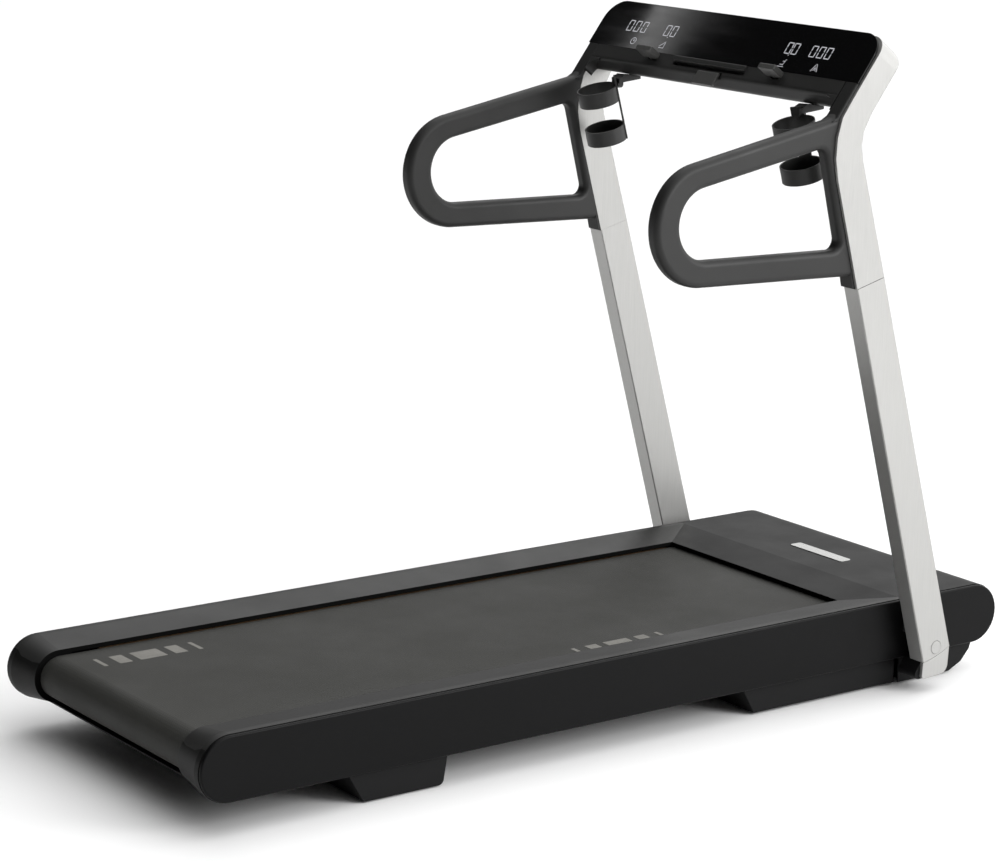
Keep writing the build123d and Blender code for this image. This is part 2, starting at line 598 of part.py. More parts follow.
# ---- display head ----
def console_body():
    """Carrier of the glass, with the thick lip below it that runs between the handles."""
    lip = [head(0, 0.4), head(-31, 0.4), head(-44, 23), head(-25, 57), head(0, 57), head(0, 12),
           head(100, 12), head(100, SILVER_INSET), head(0, SILVER_INSET)]
    body = slab(polygon(lip), -UP_X0 + 0.2, UP_X0 - 0.2)
    body = round_x_edges(body, [head(-31, 0.4)], 9)
    body = round_x_edges(body, [head(-44, 23)], 12)
    body = round_x_edges(body, [head(-25, 57)], 10)
    groove = head_block(LEDGE_X0, LEDGE_X1, -21, -12.5, -2, 9)
    body = body - groove
    gusset = corner_gusset()
    body = body + gusset + left_of(gusset)
    for side in (-1, 1):
        body = body - head_block(side * PADDLE_X - 13, side * PADDLE_X + 13, -17, -3, -2, 16)
        y, z = head(*PADDLE_PIVOT)
        body = body - rod_x(PIN_R + RUNNING_FIT, side * PADDLE_X - 16, side * PADDLE_X + 16, y, z)
    recess = head_block(-31.5, 34, -70, KEY_TOP + 2, -2, 5)
    return body - recess - head_block(-12.4, 12.4, -33, KEY_TOP - 0.5, -2, 16)


def corner_gusset():
    """Rounded inner corner where the lip meets the right handle."""
    x1 = UP_X0 - 0.2
    x0, t0 = x1 - GUSSET_R, -34 - GUSSET_R
    block = head_block(x0, x1, t0, -30, 0.4, 24)
    return block - on_glass(Pos(x0, t0) * Circle(GUSSET_R), 0, 30)


def glass_outline(half_w, height, corner):
    """Panel with rounded upper corners, drawn on the plane of the glass."""
    sheet = Pos(0, height / 2) * Rectangle(2 * half_w, height)
    upper = [v for v in sheet.vertices() if v.Y > height / 2]
    return fillet(upper, corner)


def on_glass(sketch, s0, s1):
    facing = (0, -HEAD_RISE[1], HEAD_RISE[0])
    plane = Plane(origin=(0, *head(0, s0)), x_dir=(1, 0, 0), z_dir=facing)
    return extrude(plane * sketch, -(s1 - s0))


def display_glass():
    return on_glass(glass_outline(GLASS_HALF_W, GLASS_H, 45), 0, GLASS_T)


def display_bezel():
    return on_glass(glass_outline(GLASS_HALF_W - 1.5, GLASS_H - 1.5, 44), GLASS_T, SILVER_INSET)


def display_board():
    return head_block(-240, 240, 14, 88, 14, 15.6)


def console_back():
    outer = slab(polygon([head(1, 12), head(100, 12), head(100, HEAD_DEPTH), head(1, HEAD_DEPTH)]),
                 -UP_X0 + 0.2, UP_X0 - 0.2)
    outer = round_x_edges(outer, [head(100, HEAD_DEPTH)], BACK_R)
    inner = head_block(-UP_X0 + 4, UP_X0 - 4, 4, 97, 11, HEAD_DEPTH - 3)
    inner = round_x_edges(inner, [head(97, HEAD_DEPTH - 3)], BACK_R - 3)
    return outer - inner


def tablet_ledge():
    bar = head_block(LEDGE_X0, LEDGE_X1, -12.5, -1.5, -5, 0.4)
    return round_x_edges(bar, [head(-1.5, -7.5), head(-12.5, -7.5)], 2.5)


def paddle():
    blade = head_block(PADDLE_X - 22, PADDLE_X + 22, -16, -5, -32, -4)
    blade = fillet(blade.edges(), 2)
    stem = head_block(PADDLE_X - 11, PADDLE_X + 11, -14, -6, -6, 12)
    y, z = head(*PADDLE_PIVOT)
    return blade + stem + rod_x(PIN_R, PADDLE_X - 15, PADDLE_X + 15, y, z)


def safety_key():
    plate = head_block(-30, 30, KEY_TOP - 28, KEY_TOP, -4, 2)
    plate = fillet(plate.edges(), 1.8)
    return plate + head_block(-12, 12, -32.6, KEY_TOP - 1, 0, 13)


# ---- bottle holders ----
def holder_frame():
    """Local frame at the upper ring's rim: local Z up the lean, local Y forward."""
    lean = (0, -sin(radians(LEAN)), cos(radians(LEAN)))
    return Location(Plane(origin=(HOLDER_X, *RING_TOP), x_dir=(1, 0, 0), z_dir=lean))


def bottle_holder():
    ring = Pos(0, 0, -CUP_H) * extrude(Circle(CUP_R) - Circle(CUP_R - CUP_WALL), CUP_H)
    cup = Pos(0, 0, -CUP_GAP - CUP_H) * extrude(Circle(CUP_R), CUP_H)
    cup = cup - Pos(0, 0, -CUP_GAP - CUP_H + 3) * extrude(Circle(CUP_R - CUP_WALL), CUP_H)
    middle = (STRAP_UP - CUP_GAP - CUP_H) / 2
    strap = Pos(CUP_R - 0.8, 0, middle) * Box(3.6, 24, STRAP_UP + CUP_GAP + CUP_H)
    return holder_frame() * (ring + cup + Rot(0, 0, STRAP_ANGLE) * strap) + holder_arm()


def holder_arm():
    """Arm and clamp knob that hang the holder from the lip of the head."""
    x = HOLDER_X - 22
    profile = [(390, 1104), (389, 1113), (403, 1120.4), (442, 1116.2), (442, 1110), (405, 1106)]
    return slab(polygon(profile), x - 12, x + 12) + rod_y(8, 390, 403, x, 1102)


# ---- the machine ----
def pair(part):
    """A piece and its mirror twin in one node."""
    return Compound(children=[part, left_of(part)])


def both(name, part):
    return {name + "_right": part, name + "_left": left_of(part)}


def all_parts():
    parts = {}
    parts.update(both("side_panel", side_panel()))
    parts.update(both("footrest", footrest()))
    parts["motor_hood"] = motor_hood()
    parts["belly_pan"] = belly_pan()
    parts["rear_feet"] = pair(rear_foot())
    parts["rubber_feet"] = rubber_feet()
    parts["front_skirt"] = front_skirt()
    parts["badge_plate"] = badge_plate()
    parts["frame_rails"] = pair(frame_rail())
    parts["crossmembers"] = Compound(children=[crossmember(y) for y in (-560, -60, 440)])
    parts["front_subframe"] = front_subframe()
    parts["outrigger_brackets"] = outrigger_brackets()
    parts["upright_mounts"] = pair(upright_mount())
    parts["running_deck"] = running_deck()
    parts["deck_cushions"] = deck_cushions()
    parts["running_belt"] = running_belt()
    parts["rear_roller"] = rear_roller()
    parts["rear_roller_shaft"] = rear_roller_shaft()
    parts["roller_bearings"] = roller_bearings()
    parts["belt_tension_bolts"] = belt_tension_bolts()
    parts["front_roller"] = front_roller()
    parts["front_roller_pulley"] = front_roller_pulley()
    parts["drive_motor"] = drive_motor()
    parts["motor_shaft"] = motor_shaft()
    parts["motor_pulley"] = motor_pulley()
    parts["motor_flywheel"] = motor_flywheel()
    parts["drive_belt"] = drive_belt()
    parts["motor_controller"] = motor_controller()
    parts["mains_inlet"] = mains_inlet()
    parts["power_switch"] = power_switch()
    parts["lift_frame"] = lift_frame()
    parts["lift_cover"] = lift_cover()
    parts.update(both("lift_wheel", lift_wheel()))
    parts["lift_actuator"] = lift_actuator()
    parts["lift_rod"] = lift_rod()
    parts.update(both("lower_upright", lower_upright()))
    parts["upright_feet"] = pair(upright_foot())
    parts["foot_blocks"] = pair(foot_block())
    parts["foot_fixings"] = foot_fixings()
    parts["foot_caps"] = pair(foot_cap())
    parts.update(both("upper_upright", upper_upright()))
    parts.update(both("handle", handle()))
    parts["console_body"] = console_body()
    parts["console_back"] = console_back()
    parts["display_glass"] = display_glass()
    parts["display_bezel"] = display_bezel()
    parts["display_board"] = display_board()
    parts["tablet_ledge"] = tablet_ledge()
    parts["speed_paddle"] = paddle()
    parts["incline_paddle"] = left_of(paddle())
    parts["safety_key"] = safety_key()
    parts.update(both("bottle_holder", bottle_holder()))
    return parts


os.makedirs("parts", exist_ok=True)
for part_name, part in all_parts().items():
    export_step(part, "parts/" + part_name + ".step")
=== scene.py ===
import json
import math

import bmesh
import bpy
from mathutils import Matrix, Vector


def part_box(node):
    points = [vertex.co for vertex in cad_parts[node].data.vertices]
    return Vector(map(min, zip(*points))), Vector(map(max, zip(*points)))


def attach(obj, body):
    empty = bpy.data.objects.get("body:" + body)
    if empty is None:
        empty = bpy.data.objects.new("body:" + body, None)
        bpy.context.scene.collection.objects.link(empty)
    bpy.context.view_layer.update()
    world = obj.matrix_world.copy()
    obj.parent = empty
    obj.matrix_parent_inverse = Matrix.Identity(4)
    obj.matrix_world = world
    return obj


# A home treadmill: low deck, two raked silver uprights, closed handles and a narrow glass head.
# Metres. +Y is the way the user faces, +X is the user's right, +Z is up.

MM = 0.001

# ---- camera and floor ----
CAMERA_SPOT = (4.32759, -3.24680, 1.76053)
CAMERA_YAW, CAMERA_PITCH, CAMERA_ROLL = 53.6627, 13.0002, 1.2601   # degrees
CAMERA_LENS = 108.968
FLOOR_HALF = 30.0

# ---- display head, as in the CAD: its lower edge, and the direction up along the glass ----
HEAD_Y, HEAD_Z = 0.418, 1.170
HEAD_RISE = (0.6, 0.8)

# ---- the marks printed on the belt, in mm: centre X, centre Y, width ----
MARK_GROUPS = [(-172.5, -699.0, 45.0), (212.0, 56.0, 21.0)]
MARK_STEPS = [(-96.0, 8.0), (-56.0, 25.0), (0.0, 54.0), (56.0, 25.0), (96.0, 8.0)]   # place and length
MARK_T, MARK_SUNK, MARK_CORNER = 0.25, 0.05, 0.8
BELT_TOP = 154.5
WEAVE_SCALE, WEAVE_SLANT = 110.0, 0.6      # the fine weave embossed in the belt

# ---- grain of the moulded plastics: how fine it is, and its depth in metres ----
SPARK_GRAIN, SPARK_DEPTH = 900.0, 0.00005

# ---- walls of the opening that the belt runs in, in metres: painted shade, a flat matt near-black where these walls stand in shadow ----
BELT_WALL_X = 0.262
WALL_TOP = 0.1655

# ---- screws, in metres ----
PAN_SCREWS, PAN_EDGE, PAN_INSET, PAN_SCREW_R = 4, 0.06, 0.012, 0.004
BACK_SCREWS, BACK_EDGE, BACK_UP, BACK_SCREW_R = 4, 0.05, 0.030, 0.003
SCREW_HEIGHT = 0.0014
HEAD_DEPTH = 0.059        # from the glass to the back shell

# ---- joint in the uprights: the line on the outer face, in metres ----
SEAM_REAR, SEAM_FRONT = 0.4375, 0.5010
SEAM_DROP, SEAM_LINE, SEAM_PROUD = 0.0170, 0.0009, 0.00012

# ---- soft studio light: the dome is brightest around one direction and dark opposite it ----
DOME_BRIGHT = (0.21, 0.65, 0.73)
DOME_FROM, DOME_TO = 0.14, 0.80      # cosines of the angle to that direction
DOME_LOW, DOME_HIGH = 0.03, 2.0

# ---- a square lamp to the front right, which lights the uprights' outer faces ----
KEY_SPOT, KEY_TARGET = (4.4, 2.4, 2.3), (0.2, 0.3, 0.6)
KEY_SIZE, KEY_WATTS = 2.2, 150

# ---- a row of narrow lamps high on the left: the pale band that fades across the glass ----
BAND_START, BAND_RUN = (-5.78, -1.5, 5.2), (0.305, 0.0, 0.0)
BAND_TARGET = (-0.19, 0.45, 1.21)
BAND_UP = (0.0, 0.58, 0.81)
BAND_STEPS, BAND_FADE = 8, 0.75
BAND_WIDE, BAND_TALL, BAND_WATTS = 0.0255, 0.8, 0.14

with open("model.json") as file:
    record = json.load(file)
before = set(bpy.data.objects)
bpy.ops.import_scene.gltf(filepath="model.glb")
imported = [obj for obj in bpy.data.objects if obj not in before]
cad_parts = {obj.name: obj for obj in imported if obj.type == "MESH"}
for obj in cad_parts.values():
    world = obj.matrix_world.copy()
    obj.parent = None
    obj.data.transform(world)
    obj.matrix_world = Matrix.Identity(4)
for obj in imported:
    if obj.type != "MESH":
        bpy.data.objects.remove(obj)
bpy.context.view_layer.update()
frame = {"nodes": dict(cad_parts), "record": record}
nodes = frame["nodes"]


# ---- materials ----
class Finish:
    """A Principled material that is built up from procedural layers."""

    def __init__(self, name, colour, roughness, metallic=0.0, specular=0.5, coat=0.0):
        self.material = bpy.data.materials.new(name)
        self.material.use_nodes = True
        self.tree = self.material.node_tree
        self.shader = self.tree.nodes["Principled BSDF"]
        self.colour = colour
        self.roughness = roughness
        self.put("Base Color", (*colour, 1))
        self.put("Roughness", roughness)
        self.put("Metallic", metallic)
        self.put("Specular IOR Level", specular)
        if coat:
            self.put("Coat Weight", coat)
            self.put("Coat Roughness", 0.1)
        self.place = self.add("ShaderNodeTexCoord").outputs["Object"]

    def put(self, socket, value):
        self.shader.inputs[socket].default_value = value

    def add(self, kind, inputs=None, **settings):
        node = self.tree.nodes.new(kind)
        for key, value in settings.items():
            setattr(node, key, value)
        for key, value in (inputs or {}).items():
            if isinstance(value, bpy.types.NodeSocket):
                self.tree.links.new(value, node.inputs[key])
            else:
                node.inputs[key].default_value = value
        return node

    def link(self, output, socket):
        self.tree.links.new(output, self.shader.inputs[socket])

    def stretched(self, scale):
        """Object coordinates, stretched by a scale for each axis."""
        return self.add("ShaderNodeMapping", {"Vector": self.place, "Scale": scale}).outputs["Vector"]

    def noise(self, scale, detail=3.0, roughness=0.55, stretch=None):
        place = self.stretched(stretch) if stretch else self.place
        inputs = {"Vector": place, "Scale": scale, "Detail": detail, "Roughness": roughness}
        return self.add("ShaderNodeTexNoise", inputs).outputs["Fac"]

    def cells(self, scale, feature="F1"):
        inputs = {"Vector": self.place, "Scale": scale}
        return self.add("ShaderNodeTexVoronoi", inputs, feature=feature).outputs["Distance"]

    def remap(self, value, low, high, to_low, to_high):
        inputs = {"Value": value, "From Min": low, "From Max": high, "To Min": to_low, "To Max": to_high}
        return self.add("ShaderNodeMapRange", inputs).outputs["Result"]

    def maths(self, operation, a, b):
        node = self.add("ShaderNodeMath", {0: a, 1: b}, operation=operation)
        return node.outputs[0]

    def mixed(self, factor, a, b):
        node = self.add("ShaderNodeMix", data_type="RGBA")
        for index, value in ((0, factor), (6, a), (7, b)):
            if isinstance(value, bpy.types.NodeSocket):
                self.tree.links.new(value, node.inputs[index])
            elif index == 0:
                node.inputs[index].default_value = value
            else:
                node.inputs[index].default_value = (*value, 1)
        return node.outputs[2]

    def mottle(self, amount, scale=6.0, detail=4.0, stretch=None):
        """Colour that varies softly over the surface."""
        shade = self.remap(self.noise(scale, detail, stretch=stretch), 0.3, 0.7, 0.0, 1.0)
        dark = tuple(c * (1 - amount) for c in self.colour)
        light = tuple(min(1.0, c * (1 + amount)) for c in self.colour)
        self.tone = self.mixed(shade, dark, light)
        self.link(self.tone, "Base Color")
        return self

    def painted_edge_light(self, colour, radius=0.0012, amount=0.5):
        """Edges painted to another tone, standing in for light on them: a painted highlight where the
        tone is lighter, a painted dark edge line where it is darker, broken up by noise.
        """
        round_normal = self.add("ShaderNodeBevel", {"Radius": radius}, samples=4).outputs["Normal"]
        flat_normal = self.add("ShaderNodeNewGeometry").outputs["Normal"]
        normals = {0: round_normal, 1: flat_normal}
        alike = self.add("ShaderNodeVectorMath", normals, operation="DOT_PRODUCT")
        edge = self.remap(alike.outputs["Value"], 0.995, 0.90, 0.0, amount)
        # the painted edge light, broken up by noise
        rubbed = self.maths("MULTIPLY", edge, self.remap(self.noise(60.0, 4.0), 0.35, 0.65, 0.3, 1.0))
        self.tone = self.mixed(rubbed, self.tone, colour)
        self.link(self.tone, "Base Color")
        self.round_normal = round_normal
        return self

    def smudged(self, spread, scale=9.0, stretch=None):
        """Roughness that varies, as handling and wiping leave it."""
        value = self.noise(scale, 5.0, stretch=stretch)
        low, high = self.roughness - spread, self.roughness + spread
        self.link(self.remap(value, 0.3, 0.7, low, high), "Roughness")
        return self

    def bumped(self, height, depth):
        """Fine relief of that depth in metres, over edges that are softened in the shading."""
        inputs = {"Height": height, "Distance": depth, "Strength": 1.0}
        if hasattr(self, "round_normal"):
            inputs["Normal"] = self.round_normal
        self.link(self.add("ShaderNodeBump", inputs).outputs["Normal"], "Normal")
        return self


def moulded(name, colour, roughness, specular=0.45, edge_light_gain=1.6):
    """Dark moulded plastic with a fine spark-eroded grain."""
    finish = Finish(name, colour, roughness, specular=specular)
    # painted highlight: the edges are lightened by the given factor, standing in for light along them
    finish.mottle(0.07).painted_edge_light(tuple(c * edge_light_gain for c in colour)).smudged(0.05)
    relief = finish.maths("ADD", finish.cells(SPARK_GRAIN), finish.noise(SPARK_GRAIN * 0.6, 2.0))
    return finish.bumped(relief, SPARK_DEPTH).material


def soft_touch(name, colour):
    finish = Finish(name, colour, 0.5, specular=0.3)
    # painted highlight: lighter edges
    finish.mottle(0.08, 5.0).painted_edge_light(tuple(c * 1.35 for c in colour), 0.002, 0.35).smudged(0.06, 14.0)
    return finish.bumped(finish.noise(1100.0, 3.0), 0.00004).material


def slanted_ridges(finish, slant):
    """Fine parallel ridges on the belt, slanted to one side."""
    inputs = {"Vector": finish.stretched((1, slant, 1)), "Scale": WEAVE_SCALE, "Distortion": 0.0}
    wave = finish.add("ShaderNodeTexWave", inputs, wave_type="BANDS", bands_direction="DIAGONAL")
    return wave.outputs["Fac"]


def belt_cover(name, colour):
    """The belt's top: a fine embossed weave of small lozenges, dulled by shoes."""
    finish = Finish(name, colour, 0.62, specular=0.25)
    finish.mottle(0.1, 3.5)
    left, right = slanted_ridges(finish, WEAVE_SLANT), slanted_ridges(finish, -WEAVE_SLANT)
    weave = finish.maths("MULTIPLY", left, right)
    ridge = finish.remap(weave, 0.0, 1.0, 0.0, 0.35)
    tone = finish.mixed(ridge, finish.tone, tuple(c * 1.7 for c in colour))
    tread = finish.remap(finish.noise(2.2, 3.0, stretch=(1.6, 0.5, 1)), 0.35, 0.7, 0.0, 0.25)
    finish.link(finish.mixed(tread, tone, tuple(c * 1.35 for c in colour)), "Base Color")
    finish.smudged(0.07, 5.0)
    relief = finish.maths("ADD", weave, finish.noise(1400.0, 2.0))
    return finish.bumped(relief, 0.0002).material


def metal(name, colour, roughness, stretch, metallic=1.0, depth=0.00001):
    """Metal with its grain drawn out along one axis."""
    scale = 14.0
    finish = Finish(name, colour, roughness, metallic=metallic)
    finish.mottle(0.04, scale, 6.0, stretch)
    # painted highlight: lighter edges
    finish.painted_edge_light(tuple(min(1.0, c * 1.25) for c in colour), 0.0008, 0.6).smudged(0.06, scale, stretch)
    return finish.bumped(finish.noise(scale * 3, 5.0, stretch=stretch), depth).material


def satin_silver(name, colour):
    """Silver lacquered aluminium with a satin grain that runs along the uprights."""
    finish = Finish(name, colour, 0.34, metallic=0.55, specular=0.4)
    grain = (260.0, 260.0, 5.0)
    finish.mottle(0.05, 3.0, 5.0, grain)
    # painted shade: a darker line along the edges, standing in for the light falling off at the chamfers
    finish.painted_edge_light(tuple(c * 0.55 for c in colour), 0.0016, 0.8).smudged(0.05, 3.0, grain)
    return finish.bumped(finish.noise(6.0, 4.0, stretch=grain), 0.00001).material


def powder_coat(name, colour):
    finish = Finish(name, colour, 0.46, specular=0.5)
    # painted highlight: lighter edges
    finish.mottle(0.1).painted_edge_light(tuple(min(1.0, c * 2.6 + 0.03) for c in colour), 0.0016, 0.5).smudged(0.08)
    return finish.bumped(finish.noise(420.0, 3.0), 0.00016).material


def rubber(name, colour):
    finish = Finish(name, colour, 0.82, specular=0.3)
    # painted highlight: lighter edges
    finish.mottle(0.2, 12.0).painted_edge_light(tuple(c * 2.2 for c in colour), 0.0015, 0.4).smudged(0.08, 20.0)
    return finish.bumped(finish.noise(500.0, 4.0), 0.0002).material


def board(name, light, dark):
    """Laminated running board: wood grain along the deck under a waxed film."""
    finish = Finish(name, light, 0.4, coat=0.3)
    rings = finish.noise(7.0, 6.0, stretch=(14.0, 0.8, 14.0))
    grain = finish.remap(rings, 0.35, 0.65, 0.0, 1.0)
    finish.tone = finish.mixed(grain, light, dark)
    finish.link(finish.tone, "Base Color")
    finish.smudged(0.08)
    return finish.bumped(rings, 0.0002).material


def black_glass(name):
    """Glossy black glass, with faint wipe marks in its gloss."""
    finish = Finish(name, (0.0015, 0.0015, 0.0018), 0.05, specular=0.5)
    finish.mottle(0.15, 3.0)
    wipe = finish.noise(8.0, 4.0, stretch=(0.5, 3.0, 3.0))
    finish.link(finish.remap(wipe, 0.35, 0.7, 0.035, 0.085), "Roughness")
    return finish.bumped(finish.noise(5.0, 1.0), 0.00002).material


def lit(name, colour, glow):
    """Display segments: pale figures that glow through the glass."""
    finish = Finish(name, colour, 0.35)
    finish.mottle(0.05, 200.0)
    finish.put("Emission Color", (*colour, 1))
    finish.put("Emission Strength", glow)
    return finish.bumped(finish.noise(800.0, 2.0), 0.00001).material


def printed(name, colour):
    """Ink on the belt, rubbed thin so that the weave shows in it."""
    finish = Finish(name, colour, 0.6, specular=0.3)
    finish.mottle(0.1, 40.0)
    thin = finish.remap(finish.noise(320.0, 3.0), 0.52, 0.72, 0.0, 0.6)
    finish.link(finish.mixed(thin, finish.tone, tuple(c * 0.5 for c in colour)), "Base Color")
    finish.smudged(0.05, 30.0)
    return finish.bumped(finish.noise(900.0, 2.0), 0.0001).material


def circuit(name):
    finish = Finish(name, (0.01, 0.09, 0.04), 0.35, coat=0.4)
    finish.mottle(0.15, 60.0)
    tracks = finish.remap(finish.cells(180.0, "DISTANCE_TO_EDGE"), 0.02, 0.06, 1.0, 0.0)
    finish.link(finish.mixed(tracks, finish.tone, (0.03, 0.2, 0.09)), "Base Color")
    finish.smudged(0.05)
    return finish.bumped(tracks, 0.00005).material


# the strong edge factor here paints the highlight line along the side panels' rounded top edges
side_plastic = moulded("side_plastic", (0.0032, 0.0032, 0.0034), 0.40, specular=0.10, edge_light_gain=5.0)
# painted light: a lighter copy of the deck plastic for the footrests' top faces, standing in for the
# light that falls on them
lit_top_plastic = moulded("lit_top_plastic", (0.020, 0.020, 0.0195), 0.46, specular=0.25, edge_light_gain=2.2)
# painted shade: a flat near-black for the walls of the belt opening, which are in shadow; the seam lines
# on the uprights use it as a real dark joint
shade_and_seam_black = moulded("shade_and_seam_black", (0.0025, 0.0025, 0.0025), 0.8, specular=0.05)
cover_plastic = moulded("cover_plastic", (0.0065, 0.0065, 0.0063), 0.46, specular=0.12, edge_light_gain=3.2)
under_plastic = moulded("under_plastic", (0.006, 0.006, 0.0063), 0.55, specular=0.13)
console_plastic = moulded("console_plastic", (0.021, 0.021, 0.0205), 0.44, specular=0.3)
key_plastic = moulded("key_plastic", (0.060, 0.060, 0.058), 0.38)
wheel_plastic = moulded("wheel_plastic", (0.012, 0.012, 0.012), 0.5, specular=0.25)
grip = soft_touch("soft_grip", (0.014, 0.014, 0.0137))
belt = belt_cover("belt_fabric", (0.024, 0.024, 0.0215))
silver = satin_silver("silver", (0.40, 0.398, 0.388))
badge_metal = metal("badge_metal", (0.50, 0.50, 0.49), 0.3, (3.0, 60.0, 60.0), metallic=0.5)
frame_paint = powder_coat("frame_paint", (0.012, 0.012, 0.0125))
bright_steel = metal("bright_steel", (0.55, 0.55, 0.55), 0.28, (60.0, 3.0, 60.0))
cast_metal = metal("motor_cast", (0.42, 0.42, 0.43), 0.45, (6.0, 6.0, 6.0), depth=0.0001)
deck_board = board("board_wood", (0.30, 0.19, 0.10), (0.17, 0.10, 0.05))
black_rubber = rubber("black_rubber", (0.014, 0.014, 0.014))
glass = black_glass("black_glass")
figures = lit("display_figures", (0.44, 0.44, 0.47), 0.6)
ink = printed("belt_ink", (0.17, 0.165, 0.15))
board_green = circuit("circuit")

LOOKS = {
    "side_plastic": side_plastic,
    "cover_plastic": cover_plastic,
    "under_plastic": under_plastic,
    "belt_fabric": belt,
    "silver": silver,
    "soft_grip": grip,
    "console_plastic": console_plastic,
    "black_glass": glass,
    "badge_metal": badge_metal,
    "frame_paint": frame_paint,
    "bright_steel": bright_steel,
    "board_wood": deck_board,
    "black_rubber": black_rubber,
    "wheel_plastic": wheel_plastic,
    "motor_cast": cast_metal,
    "circuit": board_green,
    "key_plastic": key_plastic,
}


def dress_nodes():
    """Each CAD node gets the full material of its record slot."""
    for entry in frame["record"]["subparts"]:
        node = nodes[entry["node"]]
        node.data.materials.clear()
        node.data.materials.append(LOOKS[entry["material_slot"]])
    for name in ("footrest_right", "footrest_left"):
        # painted light: the footrests' upward faces get the lighter copy of their plastic
        paint_faces(nodes[name], lit_top_plastic, is_lit_top)
        # painted shade on the side walls of the belt opening, and on the hood's wall that faces the belt
        paint_faces(nodes[name], shade_and_seam_black, is_shaded_belt_wall)
    paint_faces(nodes["motor_hood"], shade_and_seam_black, is_shaded_hood_wall)


# mask for the painted light on upward faces
def is_lit_top(middle, normal):
    return normal.z > 0.6


# masks for the painted shade on the walls around the belt
def is_shaded_belt_wall(middle, normal):
    return abs(normal.x) > 0.9 and abs(middle.x) < BELT_WALL_X and middle.z < WALL_TOP


def is_shaded_hood_wall(middle, normal):
    return normal.y < -0.9 and middle.z < WALL_TOP


def paint_faces(node, material, chosen):
    """A second material on the faces of a node that a test chooses."""
    node.data.materials.append(material)
    index = len(node.data.materials) - 1
    turn = node.matrix_world.to_3x3()
    for face in node.data.polygons:
        if chosen(node.matrix_world @ face.center, turn @ face.normal):
            face.material_index = index


# ---- helpers for pieces ----
def piece(name, mesh, material):
    """A new object from a bmesh, in its material, riding on the deck."""
    data = bpy.data.meshes.new(name)
    mesh.normal_update()
    mesh.to_mesh(data)
    mesh.free()
    data.materials.append(material)
    new = bpy.data.objects.new(name, data)
    bpy.context.scene.collection.objects.link(new)
    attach(new, "deck")


def add_prism(mesh, points, place, depth):
    """A flat outline in the XY of a placing matrix, made solid along its Z."""
    low = [mesh.verts.new(place @ Vector((x, y, 0))) for x, y in points]
    high = [mesh.verts.new(place @ Vector((x, y, depth))) for x, y in points]
    count = len(points)
    mesh.faces.new(list(reversed(low)))
    mesh.faces.new(high)
    for i in range(count):
        j = (i + 1) % count
        mesh.faces.new((low[i], low[j], high[j], high[i]))


def rounded_rectangle(x0, x1, y0, y1, radius):
    points = []
    steps = 3
    corners = ((x1 - radius, y1 - radius, 0), (x0 + radius, y1 - radius, 90),
               (x0 + radius, y0 + radius, 180), (x1 - radius, y0 + radius, 270))
    for cx, cy, start in corners:
        for step in range(steps + 1):
            angle = math.radians(start + 90 * step / steps)
            points.append((cx + radius * math.cos(angle), cy + radius * math.sin(angle)))
    return points


def circle_points(radius, count):
    points = []
    for step in range(count):
        angle = 2 * math.pi * step / count
        points.append((radius * math.cos(angle), radius * math.sin(angle)))
    return points


def head_place(x, up, proud):
    """Matrix on the glass: X along it, Y up it, Z out towards the user. Arguments in metres."""
    run, rise = HEAD_RISE
    out = Vector((0, -rise, run))
    origin = Vector((x, HEAD_Y, HEAD_Z)) + up * Vector((0, run, rise)) + proud * out
    axes = Matrix(((1, 0, 0), (0, run, rise), (0, -rise, run))).transposed()
    return Matrix.Translation(origin) @ axes.to_4x4()


# ---- belt marks ----
def belt_marks():
    mesh = bmesh.new()
    place = Matrix.Translation((0, 0, (BELT_TOP - MARK_SUNK) * MM))
    for cx, cy, width in MARK_GROUPS:
        for offset, length in MARK_STEPS:
            x0, x1 = (cx - width / 2) * MM, (cx + width / 2) * MM
            y0, y1 = (cy + offset - length / 2) * MM, (cy + offset + length / 2) * MM
            add_prism(mesh, rounded_rectangle(x0, x1, y0, y1, MARK_CORNER * MM), place, MARK_T * MM)
    piece("belt_marks", mesh, ink)


# ---- display ----
SEGMENTS = {"0": "abcdef"}                              # the bars that each figure lights
DIGIT_W, DIGIT_H, DIGIT_LINE, DIGIT_GAP = 14.6, 24.6, 1.9, 0.5
DIGIT_LOW = 37.0                                        # height of the numbers above the glass's edge
NUMBERS = [("000", -301.5, 21.4), ("0.0", -188.0, 19.6), ("0.0", 162.5, 17.6), ("000", 229.0, 20.2)]
ICONS = [("clock", -261.0), ("slope", -173.0), ("steps", 173.0), ("peak", 263.5)]
ICON_LOW, ICON_LINE = 17.0, 1.3
DOT_SIZE, DOT_CORNER, DOT_BACK, DOT_DROP = 2.0, 0.6, 3.6, 3.4
INK_LIFT, INK_T = 0.02, 0.18


def segment_outline(letter):
    """One bar of a seven-segment figure, mitred at its ends, in mm from the lower left corner."""
    w, h, t, g = DIGIT_W, DIGIT_H, DIGIT_LINE, DIGIT_GAP
    middle = h / 2
    bars = {
        "a": [(g, h), (w - g, h), (w - t - g, h - t), (t + g, h - t)],
        "d": [(t + g, t), (w - t - g, t), (w - g, 0), (g, 0)],
        "b": [(w, h - g), (w, middle + g), (w - t, middle + t), (w - t, h - t - g)],
        "c": [(w, middle - g), (w, g), (w - t, t + g), (w - t, middle - t)],
        "e": [(0, middle - g), (t, middle - t), (t, t + g), (0, g)],
        "f": [(0, h - g), (t, h - t - g), (t, middle + t), (0, middle + g)],
    }
    return [(x * MM, y * MM) for x, y in reversed(bars[letter])]


def glass_mark(mesh, outline, x, low):
    """A thin printed shape on the glass; its place in mm, its outline in metres."""
    add_prism(mesh, outline, head_place(x * MM, low * MM, INK_LIFT * MM), INK_T * MM)


